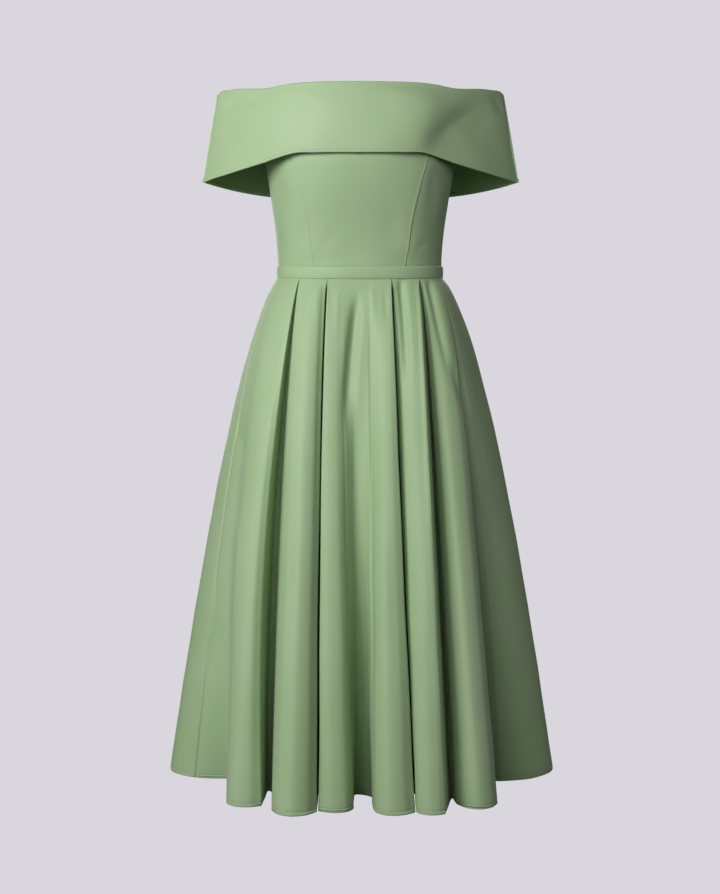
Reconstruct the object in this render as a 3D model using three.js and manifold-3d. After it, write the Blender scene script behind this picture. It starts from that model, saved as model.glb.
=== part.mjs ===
// Strapless party dress with an off-the-shoulder fold-over collar, a princess-seamed bodice,
// a narrow waistband and a pleated midi skirt, held in its worn, hollow form.
// Millimetres, +Z up, the front faces -Y, the wearer's left is +X.
// The origin is the centre of the waist, at half the height of the waistband.
import * as THREE from "three";
import { mergeVertices } from "three/addons/utils/BufferGeometryUtils.js";
import Module from "manifold-3d";

const wasm = await Module();
wasm.setup();

// Cloth
const clothWall = 1.4;
const bandWall = 3;
const bandProud = 2.4;
const seamGap = 0.3;
const rad = Math.PI / 180;

// Heights above the middle of the waistband
const bandHalfHeight = 9;
const waistDip = 5;
const hemDrop = 735;
const bodiceTopFront = 226;
const bodiceTopUnderarm = 178;
const bodiceTopBack = 222;

// The torso's rings, from the skirt's top edge up to the collar's seam
const torsoRings = [
  { z: -20, halfWidth: 121.5, front: 91.5, back: 81 },
  { z: 9, halfWidth: 119.5, front: 91, back: 80 },
  { z: 35, halfWidth: 120.5, front: 94, back: 82 },
  { z: 65, halfWidth: 123.5, front: 100, back: 87 },
  { z: 95, halfWidth: 128, front: 108, back: 93 },
  { z: 130, halfWidth: 133.5, front: 116, back: 99 },
  { z: 160, halfWidth: 138.5, front: 120, back: 103 },
  { z: 190, halfWidth: 143, front: 116, back: 103 },
  { z: 226, halfWidth: 147, front: 105, back: 99 },
];
const ringRoundness = 2.35;

// The princess seams: how far each lies from the middle, at three heights
const princessSeams = {
  front: [
    { z: 0, x: 64.5 },
    { z: 70, x: 73 },
    { z: 160, x: 95 },
    { z: 226, x: 110 },
  ],
  back: [
    { z: 0, x: 58 },
    { z: 70, x: 66 },
    { z: 160, x: 84 },
    { z: 226, x: 96 },
  ],
};

// Collar: a wide band folded over at its top edge, sewn to the bodice at front and back only
const collar = {
  halfWidthTop: 209,
  halfWidthBottom: 230.5,
  frontTop: 110,
  frontBottom: 126,
  backTop: 104,
  backBottom: 118,
  topZ: 261.2,
  tipRise: 2.4,
  saddleDip: 4.2,
  saddleAt: 139,
  saddleWidth: 28,
  bottomZTip: 132,
  bottomZBack: 116.5,
  bulge: 4,
  bulgeAtTip: 0.3,
  foldRadius: 3.2,
  foldAtTip: 4,
  turnIn: 30,
  uprightEnd: 4,
  joinedTo: 95,
  freeFrom: 125,
  sideRoundness: 2.4,
  tipRounding: 0.25,
};

// The height of the collar's lower front edge, out from the middle
const collarFrontEdge = [
  { x: 0, z: 161 },
  { x: 60, z: 161.5 },
  { x: 95, z: 161.5 },
  { x: 113, z: 157.5 },
  { x: 136, z: 151 },
  { x: 164, z: 145 },
  { x: 194, z: 139 },
  { x: 217, z: 135 },
  { x: 231, z: 132 },
];

// The skirt's folds, one row each, all round from the left side seam's fold to the back.
// waist: the fold's two edges round the waist, in degrees from the middle of the front.
// from, to: its two edges at the hem, [x, distance forward]. bulge: how far its crest stands
// out between them. floor: the middle of the valley's floor after it, at the hem, and floorWidth
// how wide that floor is. open: how far down the skirt that valley starts, 0 for a pleat
// pressed into the waist seam.
const skirtFolds = [
  { name: "leftSide", waist: [-124, -77], from: [-258, -72], to: [-192, 63], bulge: 58, floor: [-164, 92], floorWidth: 7, open: 0.1 },
  { name: "front1", waist: [-75.5, -42.6], from: [-184, 186], to: [-133, 210], bulge: 22, floor: [-126, 166], floorWidth: 9, open: 0 },
  { name: "front2", waist: [-41.4, -19.2], from: [-119.5, 236], to: [-58, 246], bulge: 28, floor: [-57, 150], floorWidth: 6, open: 0 },
  { name: "front3", waist: [-18.2, -8], from: [-55, 238], to: [-10.5, 210], bulge: 25, floor: [4, 115], floorWidth: 20, open: 0.05 },
  { name: "front4", waist: [4, 17.6], from: [17.5, 228], to: [73, 246], bulge: 27, floor: [75, 150], floorWidth: 6, open: 0 },
  { name: "front5", waist: [18.6, 41.8], from: [76, 246], to: [118, 246], bulge: 22, floor: [129, 188], floorWidth: 10, open: 0 },
  { name: "front6", waist: [43.2, 62], from: [134, 204], to: [191.5, 200], bulge: 30, floor: [170, 98], floorWidth: 7, open: 0.08 },
  { name: "rightSide", waist: [64, 104], from: [203, 78], to: [263, -76], bulge: 53, floor: [222, -88], floorWidth: 8, open: 0.1 },
  { name: "back1", waist: [106, 120], from: [238, -124], to: [192, -172], bulge: 20, floor: [160, -148], floorWidth: 14, open: 0.12 },
  { name: "back2", waist: [122, 137.6], from: [172, -194], to: [110, -222], bulge: 24, floor: [98, -132], floorWidth: 8, open: 0 },
  { name: "back3", waist: [138.6, 160.6], from: [100, -228], to: [44, -238], bulge: 24, floor: [34, -136], floorWidth: 7, open: 0 },
  { name: "back4", waist: [161.6, 178], from: [34, -236], to: [-16, -230], bulge: 24, floor: [-26, -112], floorWidth: 18, open: 0.06 },
  { name: "back5", waist: [182, 198.6], from: [-38, -226], to: [-88, -232], bulge: 25, floor: [-94, -140], floorWidth: 8, open: 0 },
  { name: "back6", waist: [199.6, 221.6], from: [-94, -230], to: [-150, -206], bulge: 24, floor: [-150, -140], floorWidth: 9, open: 0 },
  { name: "back7", waist: [222.6, 234], from: [-164, -196], to: [-222, -142], bulge: 24, floor: [-216, -84], floorWidth: 12, open: 0.1 },
];
const crestSteps = [0, 0.16, 0.5, 0.84, 1];
const crestSquareness = 2.6;
const plainSeamShare = 0.82;
const zipSeamShare = 0.72;
const skirtLevels = [0, 0.012, 0.035, 0.075, 0.13, 0.21, 0.32, 0.46, 0.62, 0.8, 1];
const flarePower = 0.59;
const flareStart = 0.01;

// Concealed zip in the side seam on the wearer's left
const zip = {
  bottomZ: -180,
  tapeTopZ: 158,
  tapeHalfWidth: 5.2,
  tapeWall: 1,
  tapeRoom: 0.9,
  sliderZ: 168,
  notchBottomZ: 160,
  notchHalfWidth: 1.35,
  neckWidth: 1.8,
  bodyDepth: 3.2,
  bodyWidth: 6,
  bodyHeight: 9,
  crownBase: 0.4,
  crownWidth: 1.4,
  crownHalfHeight: 3.4,
  crownWall: 1,
  barRadius: 0.55,
  barRoom: 0.35,
  eyeHalfWidth: 2.3,
  eyeHole: 1.15,
  eyeLength: 6,
  tabLength: 23,
  tabHalfWidth: 2.6,
  tabWall: 1.1,
};

const mix = (a, b, k) => a + (b - a) * k;
const clamp01 = (k) => Math.min(1, Math.max(0, k));
const smooth = (k) => clamp01(k) ** 2 * (3 - 2 * clamp01(k));

// A value read from rows that are sorted by their key, with straight lines between them
function readRows(rows, key, at, value) {
  const after = rows.findIndex((row) => row[key] >= at);
  if (after === 0) return rows[0][value];
  if (after < 0) return rows[rows.length - 1][value];
  const low = rows[after - 1];
  const high = rows[after];
  return mix(low[value], high[value], (at - low[key]) / (high[key] - low[key]));
}

// How far the front of the waist seam lies below its sides
const dipAt = (degrees) => waistDip * Math.max(0, Math.cos(degrees * rad)) ** 1.2;

// A point on the outside of the torso, at an angle from the middle of the front
function torsoPoint(degrees, z) {
  const s = Math.sin(degrees * rad);
  const c = Math.cos(degrees * rad);
  const depth = readRows(torsoRings, "z", z, c >= 0 ? "front" : "back");
  const halfWidth = readRows(torsoRings, "z", z, "halfWidth");
  const power = 2 / ringRoundness;
  return new THREE.Vector3(
    halfWidth * Math.sign(s) * Math.abs(s) ** power,
    -depth * Math.sign(c) * Math.abs(c) ** power,
    z,
  );
}

// The angle round the torso at which a front point lies x from the middle
function angleAt(x, z) {
  const share = Math.min(1, Math.abs(x) / readRows(torsoRings, "z", z, "halfWidth"));
  return Math.asin(share ** (ringRoundness / 2)) / rad;
}

function bodiceTop(degrees) {
  const side = Math.abs(degrees);
  if (side <= 90) return mix(bodiceTopFront, bodiceTopUnderarm, smooth((side - 35) / 49));
  return mix(bodiceTopUnderarm, bodiceTopBack, smooth((Math.min(side, 360 - side) - 96) / 49));
}

// A closed wall of cloth under a grid of points that lie on its outer face, as rows of points.
// inset moves the outer face inwards first. squareEnds keeps both end columns in their own
// plane of constant Y, where two halves meet.
function clothSolid(grid, wall, inset = 0, squareEnds = false) {
  const rows = grid.length;
  const columns = grid[0].length;
  const normals = grid.map((row, i) =>
    row.map((_, j) => {
      const along = grid[i][Math.min(j + 1, columns - 1)].clone().sub(grid[i][Math.max(j - 1, 0)]);
      const across = grid[Math.min(i + 1, rows - 1)][j].clone().sub(grid[Math.max(i - 1, 0)][j]);
      const normal = along.cross(across);
      if (squareEnds && (j === 0 || j === columns - 1)) normal.setY(0);
      return normal.normalize();
    }),
  );
  const position = [];
  for (const depth of [inset, inset + wall]) {
    grid.forEach((row, i) =>
      row.forEach((point, j) => position.push(...point.clone().addScaledVector(normals[i][j], -depth))),
    );
  }
  const outer = (i, j) => i * columns + j;
  const inner = (i, j) => rows * columns + i * columns + j;
  const index = [];
  const quad = (a, b, c, d) => index.push(a, b, c, a, c, d);
  for (let i = 0; i < rows - 1; i++) {
    for (let j = 0; j < columns - 1; j++) {
      quad(outer(i, j), outer(i, j + 1), outer(i + 1, j + 1), outer(i + 1, j));
      quad(inner(i, j), inner(i + 1, j), inner(i + 1, j + 1), inner(i, j + 1));
    }
  }
  for (let j = 0; j < columns - 1; j++) {
    quad(outer(0, j), inner(0, j), inner(0, j + 1), outer(0, j + 1));
    quad(outer(rows - 1, j), outer(rows - 1, j + 1), inner(rows - 1, j + 1), inner(rows - 1, j));
  }
  for (let i = 0; i < rows - 1; i++) {
    quad(outer(i, 0), outer(i + 1, 0), inner(i + 1, 0), inner(i, 0));
    quad(outer(i, columns - 1), inner(i, columns - 1), inner(i + 1, columns - 1), outer(i + 1, columns - 1));
  }
  return new THREE.BufferGeometry()
    .setAttribute("position", new THREE.Float32BufferAttribute(position, 3))
    .setIndex(index);
}

const steps = (count) => Array.from({ length: count + 1 }, (_, i) => i / count);

// Bodice panel between two seams, each given as its angle at a height; rows run upwards
function bodicePanel(seamFrom, seamTo, columns, rows = 9) {
  return steps(rows).map((v) =>
    steps(columns).map((u) => {
      const guess = mix(bandHalfHeight, bodiceTopFront, v);
      const degrees = mix(seamFrom(guess), seamTo(guess), u);
      const bottom = bandHalfHeight + seamGap - dipAt(degrees);
      const z = mix(bottom, bodiceTop(degrees), v);
      return torsoPoint(mix(seamFrom(z), seamTo(z), u), z);
    }),
  );
}

// Half the seam's gap as an angle, wider where the zip's slider passes through
function seamAngle(z, opensForSlider) {
  const open = opensForSlider ? smooth((z - zip.notchBottomZ) / 4) : 0;
  return mix(seamGap / 2, zip.notchHalfWidth, open) / 96 / rad;
}
const frontSeam = (z) => angleAt(readRows(princessSeams.front, "z", z, "x"), z);
const backSeam = (z) => 180 - angleAt(readRows(princessSeams.back, "z", z, "x"), z);
const sideSeam = 90;

function bodicePanels() {
  const gap = (z) => seamAngle(z, false);
  return {
    bodice_front: bodicePanel((z) => -frontSeam(z) + gap(z), (z) => frontSeam(z) - gap(z), 14),
    bodice_side_front_left: bodicePanel((z) => frontSeam(z) + gap(z), (z) => sideSeam - seamAngle(z, true), 7),
    bodice_side_front_right: bodicePanel((z) => -sideSeam + gap(z), (z) => -frontSeam(z) - gap(z), 7),
    bodice_side_back_left: bodicePanel((z) => sideSeam + seamAngle(z, true), (z) => backSeam(z) - gap(z), 7),
    bodice_side_back_right: bodicePanel((z) => 360 - backSeam(z) + gap(z), (z) => 360 - sideSeam - gap(z), 7),
    bodice_back: bodicePanel((z) => backSeam(z) + gap(z), (z) => 360 - backSeam(z) - gap(z), 14),
  };
}

// Waistband half: one row of points at each edge, standing proud of the bodice
function waistband(from, to) {
  const rows = [-bandHalfHeight, bandHalfHeight];
  return rows.map((z) =>
    steps(22).map((u) => {
      const degrees = mix(from, to, u);
      return torsoPoint(degrees, bandHalfHeight).setZ(z - dipAt(degrees));
    }),
  );
}

// Collar

// A point of one of the collar's edges, at an angle from the middle of the front
function collarEdge(degrees, halfWidth, depth) {
  const s = Math.sin(degrees * rad);
  const c = Math.cos(degrees * rad);
  const soften = (share) => Math.abs(share) * Math.hypot(share, collar.tipRounding);
  return new THREE.Vector3(
    halfWidth * Math.sign(s) * Math.abs(s) ** (2 / collar.sideRoundness),
    (-depth * Math.sign(c) * soften(c)) / soften(1),
    0,
  );
}

function collarStation(degrees) {
  const inFront = Math.cos(degrees * rad) >= 0;
  const r = collar.foldRadius;
  const topDepth = inFront ? collar.frontTop : collar.backTop;
  const top = collarEdge(degrees, collar.halfWidthTop, topDepth);
  const inner = collarEdge(degrees, collar.halfWidthTop - 2 * collar.foldAtTip, topDepth - 2 * r);
  const bottom = collarEdge(degrees, collar.halfWidthBottom, inFront ? collar.frontBottom : collar.backBottom);
  const share = Math.abs(bottom.x) / collar.halfWidthBottom;
  const saddle = Math.exp(-(((Math.abs(top.x) - collar.saddleAt) / collar.saddleWidth) ** 2));
  top.z = collar.topZ + collar.tipRise * share ** 6 - collar.saddleDip * saddle - r;
  inner.z = top.z;
  bottom.z = inFront
    ? readRows(collarFrontEdge, "x", Math.abs(bottom.x), "z")
    : mix(collar.bottomZBack, collar.bottomZTip, share ** 3.5);
  const along = collarEdge(degrees + 0.5, collar.halfWidthTop, topDepth);
  along.sub(collarEdge(degrees - 0.5, collar.halfWidthTop, topDepth));
  const outward = new THREE.Vector3(-along.y, along.x, 0).normalize().negate();
  const bulge = mix(collar.bulge, collar.bulgeAtTip, share ** 4);
  return { top, inner, bottom, outward, bulge };
}

// The free end of the turned-in layer, or the bodice's edge where the collar is sewn to it
function turnedInEnd(degrees, inner) {
  const inFront = Math.cos(degrees * rad) >= 0;
  const x = Math.abs(inner.x);
  const edgeZ = inFront ? bodiceTopFront : bodiceTopBack;
  const onBodice = angleAt(Math.min(x, collar.freeFrom), edgeZ) * Math.sign(inner.x || 1);
  const outerFace = torsoPoint(inFront ? onBodice : 180 - onBodice, edgeZ);
  const inward = new THREE.Vector3(-outerFace.x / 2, -outerFace.y, 0).normalize();
  const sewn = outerFace.addScaledVector(inward, clothWall).setZ(edgeZ + seamGap);
  const free = inner.clone().setZ(inner.z - collar.turnIn + collar.foldRadius);
  return sewn.lerp(free, smooth((x - collar.joinedTo) / (collar.freeFrom - collar.joinedTo)));
}

function collarColumn(degrees) {
  const { top, inner, bottom, outward, bulge } = collarStation(degrees);
  const column = [0, 0.06, 0.3, 0.6, 0.85, 1].map((v) =>
    bottom.clone().lerp(top, v).addScaledVector(outward, bulge * 4 * v * (1 - v)),
  );
  for (const turn of [45, 90, 135, 180]) {
    const over = top.clone().lerp(inner, (1 - Math.cos(turn * rad)) / 2);
    column.push(over.setZ(over.z + collar.foldRadius * Math.sin(turn * rad)));
  }
  const end = turnedInEnd(degrees, inner);
  const upright = end.clone().setZ(end.z + collar.uprightEnd);
  column.push(inner.clone().lerp(upright, 0.5), upright, end);
  return column;
}

// Half of the collar, from one side tip to the other; the stations crowd towards the tips
function collarHalf(middle) {
  const side = Math.cos(middle * rad) * (seamGap / 2);
  const columns = steps(26).map((u) => collarColumn(middle + 90 * Math.sin((u - 0.5) * Math.PI)));
  for (const end of [columns[0], columns[columns.length - 1]]) {
    for (const point of end) point.setY(-side);
  }
  return columns[0].map((_, row) => columns.map((column) => column[row]));
}

// Skirt

// How much of the skirt's flare has been reached at t, 0 at the waist and 1 at the hem
function flare(t) {
  const start = flareStart ** flarePower;
  return ((t + flareStart) ** flarePower - start) / ((1 + flareStart) ** flarePower - start);
}

// How deep a valley is at t, as a share of its depth at the hem
function valleyShare(t, open) {
  return clamp01((t - open) / (1 - open)) ** (open > 0 ? 1.15 : 0.8);
}

const flat = ([x, forward]) => new THREE.Vector2(x, -forward);

// The plan of the skirt at t, as control points in order round it. Each says which fold it is
// on and how far across, or that it is in the valley after that fold.
function skirtControls(t) {
  const out = flare(t);
  const waistZ = -bandHalfHeight - seamGap;
  const waist = (degrees) => {
    const p = torsoPoint(degrees, -20);
    return new THREE.Vector2(p.x, p.y);
  };
  const controls = [];
  skirtFolds.forEach((fold, n) => {
    const next = skirtFolds[(n + 1) % skirtFolds.length];
    const from = flat(fold.from);
    const to = flat(fold.to);
    const chord = to.clone().sub(from);
    const outward = new THREE.Vector2(chord.y, -chord.x).normalize();
    for (const u of crestSteps) {
      const rise = fold.bulge * (1 - Math.abs(2 * u - 1) ** crestSquareness);
      const hem = from.clone().lerp(to, u).addScaledVector(outward, rise);
      const degrees = mix(fold.waist[0], fold.waist[1], u);
      controls.push({ point: waist(degrees).lerp(hem, out), degrees, fold: n, u });
    }
    const turn = n === skirtFolds.length - 1 ? 360 : 0;
    const nextWaist = next.waist[0] + turn;
    const nextFrom = flat(next.from);
    const mouth = to.clone().lerp(nextFrom, 0.5);
    const across = nextFrom.clone().sub(to).normalize();
    const floor = flat(fold.floor);
    const deep = valleyShare(t, fold.open);
    const valley = [
      { k: 0.25, depth: 0.5, side: -1 },
      { k: 0.42, depth: 1, side: -1 },
      { k: 0.58, depth: 1, side: 1 },
      { k: 0.75, depth: 0.5, side: 1 },
    ];
    for (const { k, depth, side } of valley) {
      const degrees = mix(fold.waist[1], nextWaist, k);
      const edge = to.clone().lerp(nextFrom, k);
      const start = waist(degrees).lerp(edge, out);
      const bottom = floor.clone().addScaledVector(across, (side * fold.floorWidth) / 2);
      const wall = depth < 1 ? (side < 0 ? to : nextFrom).clone().lerp(bottom, depth) : bottom;
      const sink = wall.sub(edge).multiplyScalar(deep);
      controls.push({ point: start.add(sink), degrees, fold: n, u: 1 + k });
    }
  });
  const dropTo = (degrees) => mix(waistZ - dipAt(degrees), -hemDrop, t);
  return controls.map((c) => ({ ...c, z: dropTo(c.degrees) }));
}

// The skirt's ring at t as one closed smooth curve through the controls
function skirtRing(t) {
  const controls = skirtControls(t);
  const points = controls.map(({ point, z }) => new THREE.Vector3(point.x, point.y, z));
  const curve = new THREE.CatmullRomCurve3(points, true, "centripetal");
  const count = controls.length;
  const place = (foldNumber, u) => {
    const first = foldNumber * (crestSteps.length + 4);
    const after = crestSteps.findIndex((s) => s >= u);
    const k = (u - crestSteps[after - 1]) / (crestSteps[after] - crestSteps[after - 1]);
    return (first + after - 1 + k) / count;
  };
  return { curve, count, place };
}

// One skirt panel from a place in one fold to a place in another; rows run upwards
function skirtPanel(fromFold, fromShare, toFold, toShare) {
  return [...skirtLevels].reverse().map((t) => {
    const { curve, count, place } = skirtRing(t);
    const start = place(fromFold, fromShare);
    let end = place(toFold, toShare);
    if (end <= start) end += 1;
    const params = [start];
    for (let i = Math.floor(start * count) + 1; i < end * count - 1e-6; i++) {
      const onCrest = i % (crestSteps.length + 4) < crestSteps.length - 1;
      for (const k of onCrest ? [0, 0.5] : [0]) {
        if (i + k < end * count - 0.01) params.push((i + k) / count);
      }
    }
    params.push(end);
    const row = params.map((p) => curve.getPoint(p % 1));
    const last = row.length - 1;
    row[0].lerp(row[1], seamGap / 2 / row[0].distanceTo(row[1]));
    row[last].lerp(row[last - 1], seamGap / 2 / row[last].distanceTo(row[last - 1]));
    return row;
  });
}

// Zip

// The tape lies inside the side seam, down through bodice, waistband and skirt
function zipTape() {
  const shares = [-1, 0, 1];
  const rows = [];
  for (const t of [0.235, 0.21, 0.13, 0.075, 0.035, 0.012, 0.002]) {
    const { curve, count, place } = skirtRing(t);
    const middle = place(7, zipSeamShare);
    const at = (d) => curve.getPoint(middle + d / count);
    const reach = (zip.tapeHalfWidth / at(-0.1).distanceTo(at(0.1))) * 0.2;
    rows.push(shares.map((s) => at(s * reach)));
  }
  for (const z of [-8, 9, 35, 65, 95, 130, zip.tapeTopZ]) {
    rows.push(
      shares.map((s) => torsoPoint(sideSeam + (s * zip.tapeHalfWidth) / 92 / rad, Math.max(z, bandHalfHeight)).setZ(z)),
    );
  }
  return rows;
}

function extrude(outline, depth, holes) {
  const shape = new THREE.Shape(outline);
  shape.holes = holes.map((points) => new THREE.Path(points));
  return new THREE.ExtrudeGeometry(shape, { depth, bevelEnabled: false });
}

const v2 = (x, y) => new THREE.Vector2(x, y);

// One solid from several closed geometries that run into each other
function joined(geometries) {
  const solids = geometries.map((geometry) => {
    const merged = mergeVertices(geometry.clone().deleteAttribute("normal").deleteAttribute("uv"), 1e-4);
    const mesh = new wasm.Mesh({
      numProp: 3,
      vertProperties: merged.attributes.position.array,
      triVerts: new Uint32Array(merged.index.array),
    });
    return new wasm.Manifold(mesh);
  });
  const { vertProperties, triVerts } = wasm.Manifold.union(solids).getMesh();
  return new THREE.BufferGeometry()
    .setAttribute("position", new THREE.Float32BufferAttribute(vertProperties, 3))
    .setIndex(Array.from(triVerts));
}

// The slider stands square to the side seam, where the pull's bar passes under its crown
const sliderPlace = () => torsoPoint(sideSeam, zip.sliderZ);
const sliderTilt = () =>
  Math.atan((torsoPoint(sideSeam, zip.sliderZ + 1).x - torsoPoint(sideSeam, zip.sliderZ - 1).x) / 2);
function pullPivot() {
  const out = zip.crownBase + zip.crownWall + zip.barRadius + zip.barRoom;
  return new THREE.Vector3(out, 0, 0).applyAxisAngle(new THREE.Vector3(0, 1, 0), sliderTilt()).add(sliderPlace());
}

// Slider: a body behind the seam, a neck through it, and a crown outside that the pull's bar
// passes under. Drawn in X and Z, with X outwards from the cloth's outer face.
function zipSlider() {
  const room = 2 * (zip.barRadius + zip.barRoom);
  const h = zip.crownHalfHeight;
  const w = zip.crownWall;
  const neck = zip.crownBase + w;
  const back = -clothWall - 0.5;
  const outline = [
    v2(back, -h), v2(neck, -h), v2(neck + room, -h + 0.9), v2(neck + room + w, -h + 2),
    v2(neck + room + w, h - 2), v2(neck + room, h - 0.9), v2(neck, h), v2(back, h),
  ];
  const hole = [
    v2(neck, h - w - 0.3), v2(neck + room, h - w - 1.1), v2(neck + room, -h + w + 1.1), v2(neck, -h + w + 0.3),
  ];
  const crown = extrude(outline, zip.crownWidth, [hole]);
  crown.translate(0, 0, -zip.crownWidth / 2).rotateX(Math.PI / 2);
  const body = new THREE.CylinderGeometry(zip.bodyWidth / 2, zip.bodyWidth / 2 - 0.6, zip.bodyHeight, 10);
  body.rotateX(Math.PI / 2).scale(zip.bodyDepth / zip.bodyWidth, 1, 1);
  body.translate(-clothWall - seamGap - zip.bodyDepth / 2, 0, 0);
  return joined([crown, body]).rotateY(sliderTilt()).translate(...sliderPlace().toArray());
}

// Pull tab: an eye whose bar lies under the crown, and a drop-shaped tab below it,
// drawn in Y and Z with the bar's centre at the origin
function zipPull() {
  const e = zip.eyeHalfWidth;
  const b = zip.barRadius;
  const round = zip.tabHalfWidth;
  const outline = [v2(-e, b), v2(-e, -zip.eyeLength), v2(-round, -zip.eyeLength - 4)];
  for (const a of [180, 210, 240, 270, 300, 330, 360]) {
    outline.push(v2(round * Math.cos(a * rad), -zip.tabLength + round + round * Math.sin(a * rad)));
  }
  outline.push(v2(round, -zip.eyeLength - 4), v2(e, -zip.eyeLength), v2(e, b));
  const hole = [
    v2(-zip.eyeHole, -b), v2(zip.eyeHole, -b), v2(zip.eyeHole, -zip.eyeLength + 0.4),
    v2(-zip.eyeHole, -zip.eyeLength + 0.4),
  ];
  const tab = extrude(outline, zip.tabWall, [hole]);
  tab.translate(0, 0, -zip.tabWall / 2).rotateX(Math.PI / 2).rotateZ(Math.PI / 2);
  return tab.translate(...pullPivot().toArray());
}

const crepe = { color: 0x9dbb8c, roughness: 0.62, metalness: 0 };
const tapeCloth = { color: 0x8aa87a, roughness: 0.8, metalness: 0 };
const zipMetal = { color: 0xa9b8a0, roughness: 0.35, metalness: 0.8 };

const dress = new THREE.Group();

function addPiece(name, geometry, look) {
  const mesh = new THREE.Mesh(geometry, new THREE.MeshStandardMaterial(look));
  mesh.name = name;
  dress.add(mesh);
  return mesh;
}

for (const [name, grid] of Object.entries(bodicePanels())) {
  addPiece(name, clothSolid(grid, clothWall), crepe);
}
const bandGap = seamAngle(0, false);
addPiece("waistband_front", clothSolid(waistband(-90 + bandGap, 90 - bandGap), bandWall, -bandProud), crepe);
addPiece("waistband_back", clothSolid(waistband(90 + bandGap, 270 - bandGap), bandWall, -bandProud), crepe);
addPiece("skirt_front", clothSolid(skirtPanel(0, plainSeamShare, 7, zipSeamShare), clothWall), crepe);
addPiece("skirt_back", clothSolid(skirtPanel(7, zipSeamShare, 0, plainSeamShare), clothWall), crepe);
addPiece("collar_front", clothSolid(collarHalf(0), clothWall, 0, true), crepe);
addPiece("collar_back", clothSolid(collarHalf(180), clothWall, 0, true), crepe);
addPiece("zip_tape", clothSolid(zipTape(), zip.tapeWall, clothWall + zip.tapeRoom), tapeCloth);

addPiece("zip_slider", zipSlider(), zipMetal);
addPiece("zip_pull", zipPull(), zipMetal);

export default dress;
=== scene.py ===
import math

import bpy
import numpy as np
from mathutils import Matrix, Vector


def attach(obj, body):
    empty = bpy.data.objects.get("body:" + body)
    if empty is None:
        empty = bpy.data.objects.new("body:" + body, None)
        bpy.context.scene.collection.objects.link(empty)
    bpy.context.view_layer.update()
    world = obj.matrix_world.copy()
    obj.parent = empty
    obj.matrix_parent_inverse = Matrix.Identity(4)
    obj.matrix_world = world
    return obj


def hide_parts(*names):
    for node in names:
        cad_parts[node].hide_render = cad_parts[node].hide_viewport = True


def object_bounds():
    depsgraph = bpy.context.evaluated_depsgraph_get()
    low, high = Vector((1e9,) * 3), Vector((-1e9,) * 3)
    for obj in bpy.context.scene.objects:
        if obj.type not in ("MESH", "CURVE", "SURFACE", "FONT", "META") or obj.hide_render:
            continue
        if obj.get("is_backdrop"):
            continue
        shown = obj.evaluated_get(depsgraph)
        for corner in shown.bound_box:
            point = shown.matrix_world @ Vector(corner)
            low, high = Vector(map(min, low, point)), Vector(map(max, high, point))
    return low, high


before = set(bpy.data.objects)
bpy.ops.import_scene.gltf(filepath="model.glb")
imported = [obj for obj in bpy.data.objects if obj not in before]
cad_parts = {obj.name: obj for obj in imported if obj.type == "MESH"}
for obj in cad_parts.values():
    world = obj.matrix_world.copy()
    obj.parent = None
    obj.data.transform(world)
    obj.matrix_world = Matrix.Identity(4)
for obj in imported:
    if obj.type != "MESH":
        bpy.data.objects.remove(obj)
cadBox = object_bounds()
bpy.ops.object.select_all(action="DESELECT")
print("frame loaded:", len(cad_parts), "nodes")

mm = 0.001
rad = math.pi / 180


# Small helpers

def mix(a, b, k):
    return a + (b - a) * k


def smooth(k):
    k = np.clip(k, 0.0, 1.0)
    return k * k * (3 - 2 * k)


def unit(v):
    return v / np.maximum(np.linalg.norm(v, axis=-1, keepdims=True), 1e-9)


def srgb(code):
    parts = [int(code[i:i + 2], 16) / 255 for i in (1, 3, 5)]
    return tuple(c / 12.92 if c <= 0.04045 else ((c + 0.055) / 1.055) ** 2.4 for c in parts) + (1.0,)


def newObject(name, mesh):
    thing = bpy.data.objects.new(name, mesh)
    bpy.context.scene.collection.objects.link(thing)
    return thing


# One column of a table, read smoothly through every row
def readRows(rows, key, at, value):
    xs = np.array([row[key] for row in rows], float)
    ys = np.array([row[value] for row in rows], float)
    slopes = np.gradient(ys, xs)
    at = np.clip(np.asarray(at, float), xs[0], xs[-1])
    i = np.clip(np.searchsorted(xs, at, side="right") - 1, 0, len(xs) - 2)
    h = xs[i + 1] - xs[i]
    k = (at - xs[i]) / h
    return ((2 * k**3 - 3 * k**2 + 1) * ys[i] + (k**3 - 2 * k**2 + k) * h * slopes[i]
            + (3 * k**2 - 2 * k**3) * ys[i + 1] + (k**3 - k**2) * h * slopes[i + 1])


# Cloth: walls, seams and hems, in mm
cloth = {
    "wall": 1.3,
    "hemWall": 2.1,       # turned up once, so it is thicker
    "hemTurn": 4.4,       # stitch line above the folded edge
    "collarTurn": 3.0,
    "grooveDepth": 0.3, "grooveWidth": 0.6, "seamGap": 0.3,
    "grooveRows": [-0.8, -0.35, 0, 0.35, 0.8],
    "seamRoll": 0.6,      # how far an edge turns in where two panels are sewn
    "seamRollWidth": 1.2,
    "bandTuck": 0.8,      # how far in behind the waistband the bodice and skirt run on
    "bandTuckHeights": (1.2, 2.8),
}


def gridNormals(grid, squareEnds=False):
    along = np.gradient(grid, axis=1)
    across = np.gradient(grid, axis=0)
    normal = np.cross(along, across)
    if squareEnds:
        normal[:, 0, 1] = 0
        normal[:, -1, 1] = 0
    return unit(normal)


# Distance walked over the cloth, along rows or up columns, in mm
def walked(grid, axis):
    step = np.linalg.norm(np.diff(grid, axis=axis), axis=2)
    zero = np.zeros((1, grid.shape[1])) if axis == 0 else np.zeros((grid.shape[0], 1))
    return np.concatenate([zero, np.cumsum(step, axis=axis)], axis=axis)


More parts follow.
